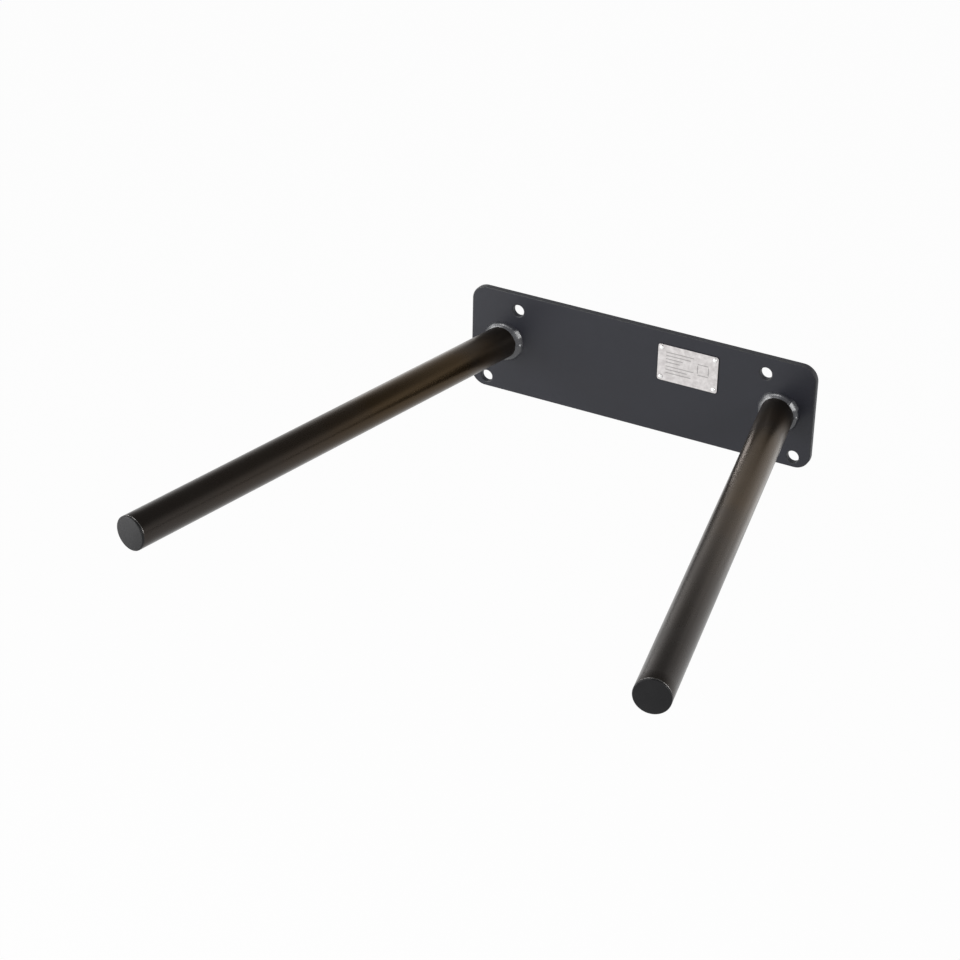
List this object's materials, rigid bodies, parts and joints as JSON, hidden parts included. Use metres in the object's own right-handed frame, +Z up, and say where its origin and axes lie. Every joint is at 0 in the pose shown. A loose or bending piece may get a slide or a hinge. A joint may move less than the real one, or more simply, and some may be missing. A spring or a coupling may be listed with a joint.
{
  "type": "wall-mounted dip station",
  "caption": "Wall-mounted dip station: flat steel bolt-on plate with long round tube bars splayed in a V, plastic end caps and a small blank riveted metal plate.",
  "frame": {"origin": "middle of the wall plate's flat wall face", "axes": "+Y out of the wall face into the wall, +Z up, +X to the right of someone who faces the wall; the bars stand out towards -Y"},
  "size_m": [0.6108, 0.5785, 0.125],
  "materials": {
    "coated_steel": "satin",
    "bar_coat": "semi-gloss",
    "cap_plastic": "matte",
    "plain_aluminium": "brushed",
    "bright_rivet": "polished"
  },
  "bodies": {
    "root": {"wall_plate": "coated_steel", "left_bar_tube": "bar_coat", "right_bar_tube": "bar_coat", "left_weld_bead": "coated_steel", "right_weld_bead": "coated_steel", "left_end_cap": "cap_plastic", "right_end_cap": "cap_plastic", "rating_plate": "plain_aluminium", "rating_plate_rivet_1": "bright_rivet", "rating_plate_rivet_2": "bright_rivet", "rating_plate_rivet_3": "bright_rivet", "rating_plate_rivet_4": "bright_rivet"}
  },
  "joints": []
}
